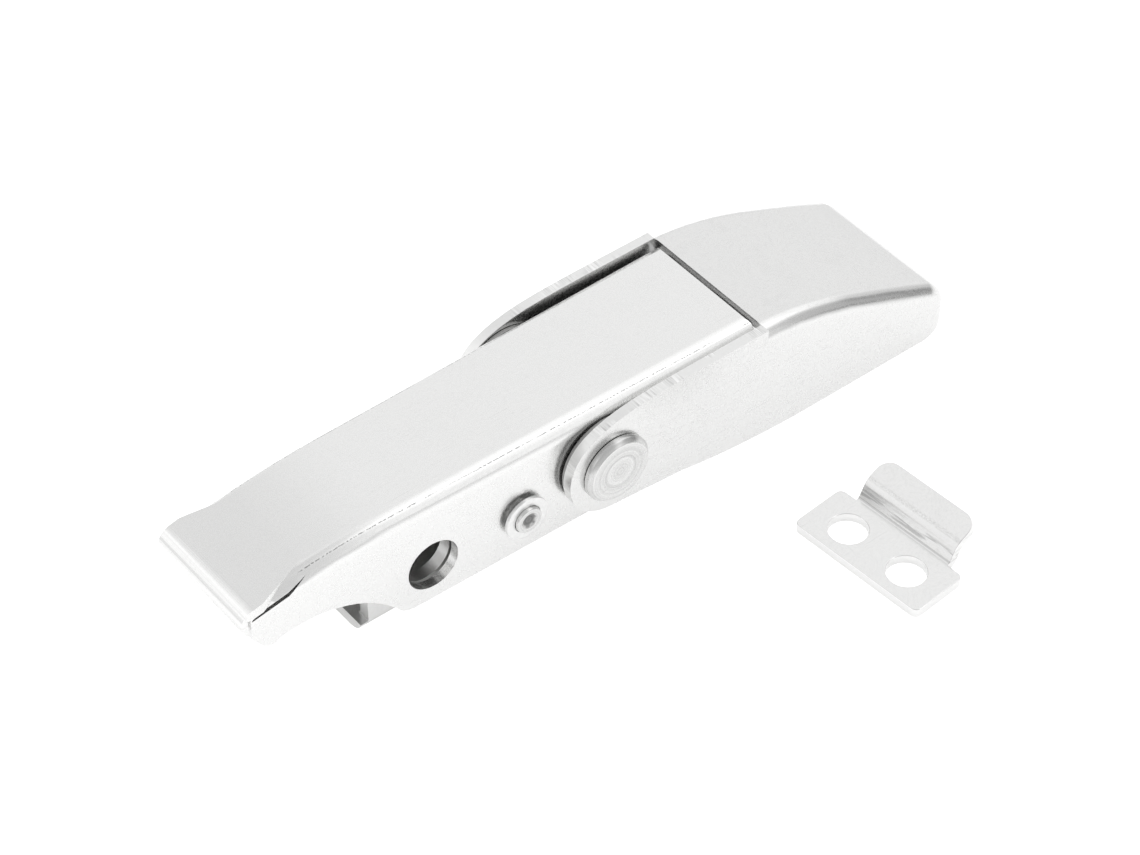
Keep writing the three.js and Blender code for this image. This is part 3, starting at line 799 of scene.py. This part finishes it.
    @classmethod
    def ring(
        cls, name: str, x: float, z: float, outer: float, hole: float, low_y: float, high_y: float
    ) -> bpy.types.Object:
        """A flat washer about an axis along Y.

        Args:
            name: the piece's name.
            x: its axis.
            z: its axis.
            outer: outside radius.
            hole: radius of the hole.
            low_y: one face.
            high_y: the other face.

        Returns:
            The washer.
        """
        cls.deselect()
        bpy.ops.mesh.primitive_circle_add(
            vertices=72, radius=mm(outer), fill_type="NGON",
            location=(mm(x), mm((low_y + high_y) / 2), mm(z)), rotation=(math.radians(90), 0, 0),
        )
        piece = bpy.context.object
        piece.name = name
        bpy.ops.object.transform_apply(location=True, rotation=True, scale=True)
        cls.edit(piece, lambda p: True)
        bpy.ops.mesh.inset(thickness=mm(outer - hole))
        bpy.ops.mesh.delete(type="FACE")
        cls.close()
        cls.modify(piece, "SOLIDIFY", thickness=mm(high_y - low_y), offset=0.0)
        cls.break_edges(piece, 0.07, steps=2)
        return piece


def dress(piece: bpy.types.Object, finishes: Iterable, slot: Slot, body: Body, *nodes: str) -> None:
    """Gives a piece its materials and its body, hides the frame nodes that it replaces and logs its face count.

    Args:
        piece: the finished piece.
        finishes: its materials, in slot order.
        slot: the record's material slot; not used.
        body: the body it moves with.
        *nodes: the frame nodes that it replaces.
    """
    for material in finishes:
        piece.data.materials.append(material)
    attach(piece, body.value)
    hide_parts(*nodes)
    LOG.info("%s: %d faces", piece.name, len(piece.data.polygons))


# ---------------------------------------------------------------- sub-assemblies


@dataclass
class HandleLever:
    """The lever: a bent channel with a finger lip, a padlock hole and rivet holes."""

    edge_round: float = 0.16
    finish: SheetSteel = LEVER_SATIN
    edge: ShearedEdge = CUT_EDGE

    def build(self) -> bpy.types.Object:
        """Makes the lever.

        Returns:
            The piece.
        """
        piece = Workshop.refined("handle_lever", "lever_shell")
        Workshop.break_edges(piece, self.edge_round)
        dress(piece, (self.finish.make(),), Slot.LEVER, Body.LEVER, "handle_lever")
        return piece


@dataclass
class Claw:
    """The claw: a drawn cap with two ears, hung on its pin."""

    plate_edge: float = 26.2
    inner_half_width: float = 11.07
    edge_round: float = 0.2
    finish: SheetSteel = CLAW_HAZE
    edge: ShearedEdge = CUT_EDGE

    def build(self) -> bpy.types.Object:
        """Makes the claw, its sheared faces in a finish of their own.

        Returns:
            The piece.
        """
        piece = Workshop.refined("claw", "claw_shell")
        Workshop.break_edges(piece, self.edge_round)
        for polygon in piece.data.polygons:
            on_ear = polygon.center.x < mm(self.plate_edge) and abs(polygon.center.y) > mm(self.inner_half_width)
            if on_ear and abs(polygon.normal.y) < 0.35:
                polygon.material_index = 1
        dress(piece, (self.finish.make(), self.edge.make()), Slot.CLAW, Body.CLAW, "claw")
        return piece


@dataclass
class BaseChannel:
    """The base: an upright channel under the lever."""

    edge_round: float = 0.16
    finish: SheetSteel = BASE_SATIN

    def build(self) -> bpy.types.Object:
        """Makes the base.

        Returns:
            The piece.
        """
        piece = Workshop.refined("base_channel", "base_shell")
        Workshop.break_edges(piece, self.edge_round)
        dress(piece, (self.finish.make(),), Slot.BASE, Body.BASE, "base_channel")
        return piece


@dataclass
class ClawPin:
    """Headed pin of the claw, with a spacer inside each ear."""

    x: float = 0.0
    z: float = 10.86
    radius: float = 3.2
    head_radius: float = 5.1
    seat: float = 12.63
    head: float = 1.35
    chamfer: float = 0.6
    spacer_radius: float = 7.0
    spacer_hole: float = 3.3
    spacer_low: float = 10.41
    spacer_high: float = 11.01

    def build(self) -> None:
        """Makes the pin and its two spacers."""
        end = self.seat + self.head
        rim = end - self.chamfer
        face = self.head_radius - self.chamfer
        half = [
            (self.seat, self.radius), (self.seat, self.head_radius - 0.1), (self.seat + 0.1, self.head_radius),
            (rim - 0.08, self.head_radius), (rim + 0.06, self.head_radius - 0.09),
            (end - 0.07, face + 0.1), (end - 0.01, face - 0.06), (end - 0.03, face * 0.5), (end - 0.04, 0.12),
        ]
        stations = [(-y, r) for y, r in reversed(half)] + half
        piece = Workshop.bar("claw_pin_headed", self.x, self.z, stations)
        Workshop.break_edges(piece, 0.05, steps=2)
        dress(piece, (CLAW_PIN_FACE.make(),), Slot.TURNED, Body.LEVER, "claw_pin")
        # The spacers get the dark tone that paints the shade in the gap between lever and ear.
        gap_shaded = SPACER_GAP_SHADE.make()
        for side in Side:
            low, high = sorted((side.value * self.spacer_low, side.value * self.spacer_high))
            word = side.name.lower()
            ring = Workshop.ring(
                f"claw_spacer_ring_{word}", self.x, self.z, self.spacer_radius, self.spacer_hole, low, high
            )
            dress(ring, (gap_shaded,), Slot.WASHER, Body.LEVER, f"claw_spacer_{word}")


@dataclass
class LeverPivot:
    """Countersunk rivet of the lever, with a washer between lever and base on each side."""

    x: float = 14.0
    z: float = 11.2
    radius: float = 3.0
    cone_radius: float = 4.2
    cone_depth: float = 0.9
    end: float = 10.378
    washer_radius: float = 5.5
    washer_hole: float = 3.1
    washer_low: float = 7.96
    washer_high: float = 8.79

    def build(self) -> None:
        """Makes the rivet and its two washers."""
        half = [
            (self.end - self.cone_depth, self.radius), (self.end - 0.06, self.cone_radius - 0.05),
            (self.end, self.cone_radius - 0.12), (self.end - 0.02, 1.0), (self.end - 0.02, 0.1),
        ]
        stations = [(-y, r) for y, r in reversed(half)] + half
        piece = Workshop.bar("lever_pivot_rivet", self.x, self.z, stations)
        Workshop.break_edges(piece, 0.04, steps=2)
        dress(piece, (PIVOT_FACE.make(),), Slot.TURNED, Body.BASE, "lever_pivot_pin")
        satin = WASHER_SATIN.make()
        for side in Side:
            low, high = sorted((side.value * self.washer_low, side.value * self.washer_high))
            word = side.name.lower()
            ring = Workshop.ring(
                f"pivot_ring_{word}", self.x, self.z, self.washer_radius, self.washer_hole, low, high
            )
            dress(ring, (satin,), Slot.WASHER, Body.BASE, f"lever_pivot_washer_{word}")


@dataclass
class StopPin:
    """Peened pin that stops the lever, with a washer under each end."""

    x: float = -13.1
    z: float = 8.04
    radius: float = 2.0
    dimple_radius: float = 1.2
    seat: float = 10.492
    washer_thickness: float = 0.5
    washer_radius: float = 3.36
    washer_hole: float = 2.1
    end_height: float = 0.45

    def build(self) -> None:
        """Makes the pin and its two washers."""
        end = self.seat + self.washer_thickness + 0.06 + self.end_height
        half = [
            (self.seat, self.radius), (end - 0.2, self.radius), (end - 0.09, self.radius - 0.05),
            (end, self.radius - 0.2), (end, self.dimple_radius + 0.12), (end - 0.05, self.dimple_radius),
            (end - 0.24, self.dimple_radius - 0.2), (end - 0.3, self.dimple_radius - 0.45), (end - 0.33, 0.08),
        ]
        stations = [(-y, r) for y, r in reversed(half)] + half
        piece = Workshop.bar("stop_pin_peened", self.x, self.z, stations, sides=72)
        Workshop.break_edges(piece, 0.03, steps=2)
        dress(piece, (STOP_PIN_FACE.make(),), Slot.TURNED, Body.LEVER, "stop_pin")
        satin = WASHER_SATIN.make()
        for side in Side:
            low, high = sorted((side.value * self.seat, side.value * (self.seat + self.washer_thickness)))
            word = side.name.lower()
            ring = Workshop.ring(f"stop_ring_{word}", self.x, self.z, self.washer_radius, self.washer_hole, low, high)
            dress(ring, (satin,), Slot.WASHER, Body.LEVER, f"stop_pin_washer_{word}")


@dataclass
class Keeper:
    """The keeper: a plate with two screw holes, bent up and over into a hook."""

    half_width: float = 10.97
    hook_half_width: float = 8.17
    front: float = -4.4
    back: float = 4.7
    sheet: float = 1.5
    corner: float = 1.0
    hook_corner: float = 2.2
    hole_radius: float = 2.75
    hole_pitch: float = 10.4
    bend_inside: float = 0.5
    riser_angle: float = 63.0
    riser_length: float = 1.7
    curl_angle: float = 24.0
    curl_bend: float = 1.0
    curl_length: float = 3.4
    place: tuple = (23.05, -38.95)
    turn: float = 4.7
    finish: SheetSteel = KEEPER_POLISH

    def build(self) -> bpy.types.Object:
        """Makes the keeper by bending the middle of the plate's back edge up and over.

        Returns:
            The piece.
        """
        piece = self.plate()
        self.bend_hook(piece)
        self.round_hook(piece)
        self.drill(piece)
        Workshop.break_edges(piece, 0.26)
        piece.location = (mm(self.place[0]), mm(self.place[1]), 0.0)
        piece.rotation_euler = (0.0, 0.0, math.radians(self.turn))
        Workshop.take(piece)
        bpy.ops.object.transform_apply(location=True, rotation=True, scale=True)
        dress(piece, (self.finish.make(),), Slot.KEEPER, Body.BASE, "keeper_plate")
        return piece

    def plate(self) -> bpy.types.Object:
        """The flat plate with its four corners rounded.

        Returns:
            The plate, still at the middle of the frame.
        """
        Workshop.deselect()
        length = self.back - self.front
        bpy.ops.mesh.primitive_cube_add(size=1, location=(mm((self.front + self.back) / 2), 0, mm(self.sheet / 2)))
        piece = bpy.context.object
        piece.name = "keeper_bent_plate"
        piece.scale = (mm(length), mm(2 * self.half_width), mm(self.sheet))
        bpy.ops.object.transform_apply(location=True, rotation=True, scale=True)
        Workshop.edit(piece, lambda a, b: abs(a.z - b.z) > mm(self.sheet / 2), "EDGE")
        bpy.ops.mesh.bevel(offset=mm(self.corner), segments=6, affect="EDGES")
        for y in (-self.hook_half_width, self.hook_half_width):
            bpy.ops.mesh.select_all(action="SELECT")
            bpy.ops.mesh.bisect(plane_co=(0, mm(y), 0), plane_no=(0, 1, 0))
        Workshop.close()
        return piece

    def bend_hook(self, piece: bpy.types.Object) -> None:
        """Spins and extrudes the middle of the back face into the riser and the curl.

        Args:
            piece: the flat plate.
        """
        back = mm(self.back)
        Workshop.edit(
            piece,
            lambda p: p.normal.x > 0.9 and abs(p.center.x - back) < 1e-5 and abs(p.center.y) < mm(1),
        )
        low = mm(self.sheet + self.bend_inside)
        bpy.ops.mesh.spin(
            steps=6, angle=math.radians(self.riser_angle), center=(back, 0, low), axis=(0, 1, 0)
        )
        lift = math.radians(self.riser_angle)
        self.pull(self.riser_length, lift)
        faces = [v.co for v in self.selected(piece)]
        top = max(faces, key=lambda co: co.z - co.x)
        bottom = min(faces, key=lambda co: co.z - co.x)
        outward = (bottom - top).normalized()
        centre = bottom + outward * mm(self.curl_bend)
        over = self.riser_angle - self.curl_angle
        bpy.ops.mesh.spin(steps=5, angle=math.radians(-over), center=(centre.x, 0, centre.z), axis=(0, 1, 0))
        self.pull(self.curl_length, math.radians(self.curl_angle))
        bpy.ops.mesh.select_all(action="SELECT")
        bpy.ops.mesh.normals_make_consistent(inside=False)
        Workshop.close()

    def round_hook(self, piece: bpy.types.Object) -> None:
        """Rounds the two free corners of the curl.

        Args:
            piece: the bent plate.
        """
        tip = max(vertex.co.x for vertex in piece.data.vertices) - mm(self.sheet / 2)
        Workshop.edit(
            piece,
            lambda a, b: min(a.x, b.x) > tip and abs(a.y - b.y) < mm(0.1) and abs(a.z - b.z) > mm(self.sheet / 2),
            "EDGE",
        )
        bpy.ops.mesh.bevel(offset=mm(self.hook_corner), segments=8, affect="EDGES")
        Workshop.close()

    @staticmethod
    def pull(length: float, lift: float) -> None:
        """Extrudes the selected end face.

        Args:
            length: how far, in millimetres.
            lift: the direction's angle above X, in radians.
        """
        step = (mm(length * math.cos(lift)), 0, mm(length * math.sin(lift)))
        bpy.ops.mesh.extrude_region_move(TRANSFORM_OT_translate={"value": step})

    @staticmethod
    def selected(piece: bpy.types.Object) -> list:
        """The selected vertices of a piece in edit mode.

        Args:
            piece: the piece.

        Returns:
            Its selected vertices.
        """
        piece.update_from_editmode()
        return [v for v in piece.data.vertices if v.select]

    def drill(self, piece: bpy.types.Object) -> None:
        """Cuts the two screw holes.

        Args:
            piece: the bent plate.
        """
        for y in (-self.hole_pitch / 2, self.hole_pitch / 2):
            Workshop.deselect()
            bpy.ops.mesh.primitive_cylinder_add(
                vertices=72, radius=mm(self.hole_radius), depth=mm(4 * self.sheet), location=(0, mm(y), 0)
            )
            Workshop.cut(piece, bpy.context.object)


# ---------------------------------------------------------------- studio


@dataclass
class Studio:
    """Floor, light and camera."""

    eye: tuple = (-191.0, -243.1, 315.2)
    back: tuple = (-0.4420, -0.5549, 0.7048)
    focal: float = 103.44
    floor_radius: float = 2500.0
    floor_glow: float = 0.36
    floor_seen: float = 0.5
    floor_near: float = 0.92
    floor_far: float = 0.5
    room: float = 0.94
    rear_room: float = 0.66
    panel: float = 1.15
    dark_card: tuple = (0.80, -0.50, 0.30)
    card_edge: float = 0.88
    card_core: float = 0.98
    card_depth: float = 0.6

    def build(self) -> None:
        """Sets up the floor, the lights, the surroundings and the camera."""
        self.floor()
        self.surroundings()
        self.softbox("key_softbox", (420, -260, 700), (500, 500), 0.3)
        self.softbox("side_softbox", (-620, -160, 360), (420, 420), 0.2)
        self.camera()
        bpy.context.scene.view_settings.view_transform = "Standard"

    def floor(self) -> None:
        """A pale disc that the latch stands on."""
        Workshop.deselect()
        bpy.ops.mesh.primitive_circle_add(
            vertices=96, radius=mm(self.floor_radius), fill_type="NGON", location=(0, 0, mm(-0.02))
        )
        disc = bpy.context.object
        disc.name = "studio_floor"
        bpy.ops.object.transform_apply(location=True, rotation=True, scale=True)
        material = bpy.data.materials.new("studio_white")
        material.use_nodes = True
        desk = NodeDesk(material.node_tree)
        seen = desk.add("LightPath").outputs["Is Camera Ray"]
        glow = desk.math("ADD", desk.math("MULTIPLY", seen, self.floor_seen), self.floor_glow)
        reach = desk.vector_math("LENGTH", desk.add("TexCoord").outputs["Object"], output=1)
        fade = desk.band(reach, mm(75), mm(160), self.floor_near, self.floor_far)
        tone = desk.math("MAXIMUM", desk.math("MULTIPLY", seen, self.floor_near), fade)
        shader = desk.add(
            "BsdfPrincipled",
            {
                "Base Color": desk.add("CombineXYZ", {0: tone, 1: tone, 2: tone}).outputs[0], "Roughness": 0.9,
                "Emission Color": (1.0, 1.0, 1.0, 1.0), "Emission Strength": glow,
            },
        )
        desk.add("OutputMaterial", {"Surface": shader.outputs[0]})
        disc.data.materials.append(material)

    def surroundings(self) -> None:
        """A room: white ahead of the camera, greyer behind it, with two bright panels and a card."""
        world = bpy.data.worlds.new("white_room")
        world.use_nodes = True
        bpy.context.scene.world = world
        desk = NodeDesk(world.node_tree)
        vector = desk.add("TexCoord").outputs["Generated"]
        x, y, z = desk.add("SeparateXYZ", {0: vector}).outputs[:3]
        upper = desk.band(z, 0.0, 0.15)
        light = desk.band(y, 0.1, 0.32, self.rear_room, self.room)
        strip = desk.math("MULTIPLY", desk.band(x, 0.2, 0.32), desk.band(x, 0.97, 0.88))
        strip = desk.math("MULTIPLY", desk.math("MULTIPLY", strip, upper), desk.band(y, 0.47, 0.25))
        light = desk.math("MAXIMUM", light, desk.math("MULTIPLY", strip, self.panel))
        left = desk.math("MULTIPLY", desk.band(x, -0.2, -0.45), desk.band(y, 0.3, 0.45))
        light = desk.math("MAXIMUM", light, desk.math("MULTIPLY", desk.math("MULTIPLY", left, upper), self.panel))
        grey = desk.math("MULTIPLY", desk.band(x, 0.36, 0.16), desk.band(x, -0.2, 0.0))
        grey = desk.math("MULTIPLY", desk.math("MULTIPLY", grey, desk.band(y, 0.3, 0.5)), 0.15)
        card = desk.vector_math("DOT_PRODUCT", vector, tuple(Vector(self.dark_card).normalized()), output=1)
        dark = desk.math("MULTIPLY", desk.band(card, self.card_edge, self.card_core), self.card_depth)
        light = desk.math("MAXIMUM", desk.math("SUBTRACT", desk.math("SUBTRACT", light, grey), dark), 0.2)
        colour = desk.add("CombineXYZ", {0: light, 1: light, 2: light}).outputs[0]
        sky = desk.add("Background", {"Color": colour, "Strength": 1.0})
        desk.add("OutputWorld", {"Surface": sky.outputs[0]})

    @staticmethod
    def softbox(name: str, place: tuple, size: tuple, power: float) -> None:
        """A large area light aimed at the latch.

        Args:
            name: its name.
            place: where it hangs.
            size: its two sides.
            power: its power in watts.
        """
        lamp = bpy.data.lights.new(name, "AREA")
        lamp.shape = "RECTANGLE"
        lamp.size, lamp.size_y = mm(size[0]), mm(size[1])
        lamp.energy = power
        holder = bpy.data.objects.new(name, lamp)
        holder.location = Vector(place) / 1000.0
        holder.rotation_mode = "QUATERNION"
        holder.rotation_quaternion = (-Vector(place)).to_track_quat("-Z", "Y")
        bpy.context.scene.collection.objects.link(holder)

    def camera(self) -> None:
        """The camera, looking down along the latch from its near side."""
        lens = bpy.data.cameras.new("view")
        lens.sensor_width = 36.0
        lens.lens = self.focal
        lens.clip_start, lens.clip_end = mm(5), mm(20000)
        holder = bpy.data.objects.new("view", lens)
        holder.location = Vector(self.eye) / 1000.0
        holder.rotation_mode = "QUATERNION"
        holder.rotation_quaternion = (-Vector(self.back)).to_track_quat("-Z", "Y")
        bpy.context.scene.collection.objects.link(holder)
        bpy.context.scene.camera = holder


@dataclass
class ToggleLatch:
    """The whole latch with its keeper."""

    lever: HandleLever = field(default_factory=HandleLever)
    claw: Claw = field(default_factory=Claw)
    base: BaseChannel = field(default_factory=BaseChannel)
    claw_pin: ClawPin = field(default_factory=ClawPin)
    pivot: LeverPivot = field(default_factory=LeverPivot)
    stop: StopPin = field(default_factory=StopPin)
    keeper: Keeper = field(default_factory=Keeper)

    def build(self) -> None:
        """Makes every piece, in the order of assembly."""
        for part in (self.base, self.lever, self.pivot, self.stop, self.claw, self.claw_pin, self.keeper):
            part.build()


def main() -> None:
    """Builds the latch and the studio around it."""
    logging.basicConfig(level=logging.INFO, format="%(name)s %(message)s")
    ToggleLatch().build()
    Studio().build()


if __name__ == "__main__":
    main()
